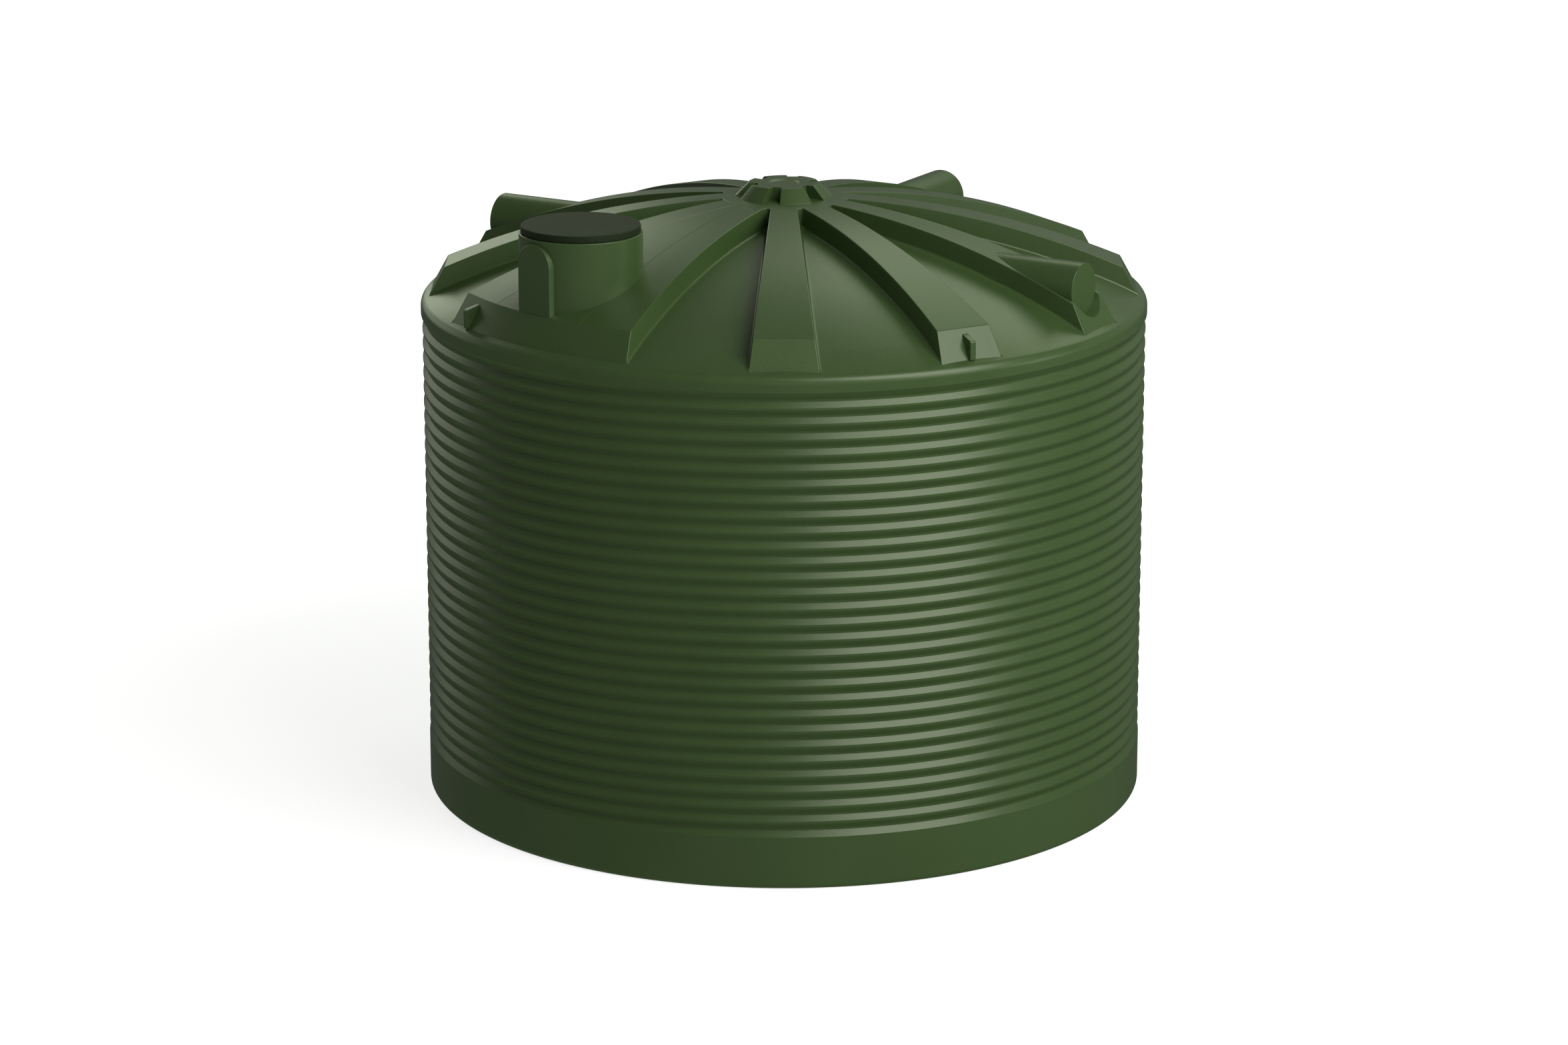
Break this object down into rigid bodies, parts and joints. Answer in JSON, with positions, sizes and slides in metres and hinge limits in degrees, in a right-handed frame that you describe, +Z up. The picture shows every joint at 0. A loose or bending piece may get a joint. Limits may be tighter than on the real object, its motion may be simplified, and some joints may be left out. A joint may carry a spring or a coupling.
{
  "type": "water tank",
  "caption": "Round corrugated rainwater tank with a ribbed dome roof, a toothed hub, port stubs on the ribs, lifting lugs and a raised access neck with a lid.",
  "frame": {"origin": "centre of the base, on the ground", "axes": "+Z up, -Y towards the front, +X to the right as seen from the front"},
  "size_m": [3.512, 3.512, 2.9805],
  "materials": {
    "tank_green": "satin",
    "lid_green": "matte"
  },
  "bodies": {
    "root": {"access_lid": "lid_green", "access_neck": "tank_green", "access_platform": "tank_green", "hub_cap": "tank_green", "lifting_lug_11": "tank_green", "lifting_lug_2": "tank_green", "lifting_lug_5": "tank_green", "lifting_lug_8": "tank_green", "neck_pad": "tank_green", "port_stub_3": "tank_green", "port_stub_6": "tank_green", "port_stub_9": "tank_green", "roof_crown": "tank_green", "roof_panel_1": "tank_green", "roof_panel_10": "tank_green", "roof_panel_12": "tank_green", "roof_panel_2": "tank_green", "roof_panel_3": "tank_green", "roof_panel_4": "tank_green", "roof_panel_5": "tank_green", "roof_panel_6": "tank_green", "roof_panel_7": "tank_green", "roof_panel_8": "tank_green", "roof_panel_9": "tank_green", "roof_rib_1": "tank_green", "roof_rib_10": "tank_green", "roof_rib_2": "tank_green", "roof_rib_3": "tank_green", "roof_rib_4": "tank_green", "roof_rib_5": "tank_green", "roof_rib_6": "tank_green", "roof_rib_7": "tank_green", "roof_rib_8": "tank_green", "roof_rib_9": "tank_green", "tank_floor": "tank_green", "wall_segment_1": "tank_green", "wall_segment_2": "tank_green", "wall_segment_3": "tank_green", "wall_segment_4": "tank_green", "wall_segment_5": "tank_green", "wall_segment_6": "tank_green", "wall_segment_7": "tank_green", "wall_segment_8": "tank_green"}
  },
  "joints": []
}
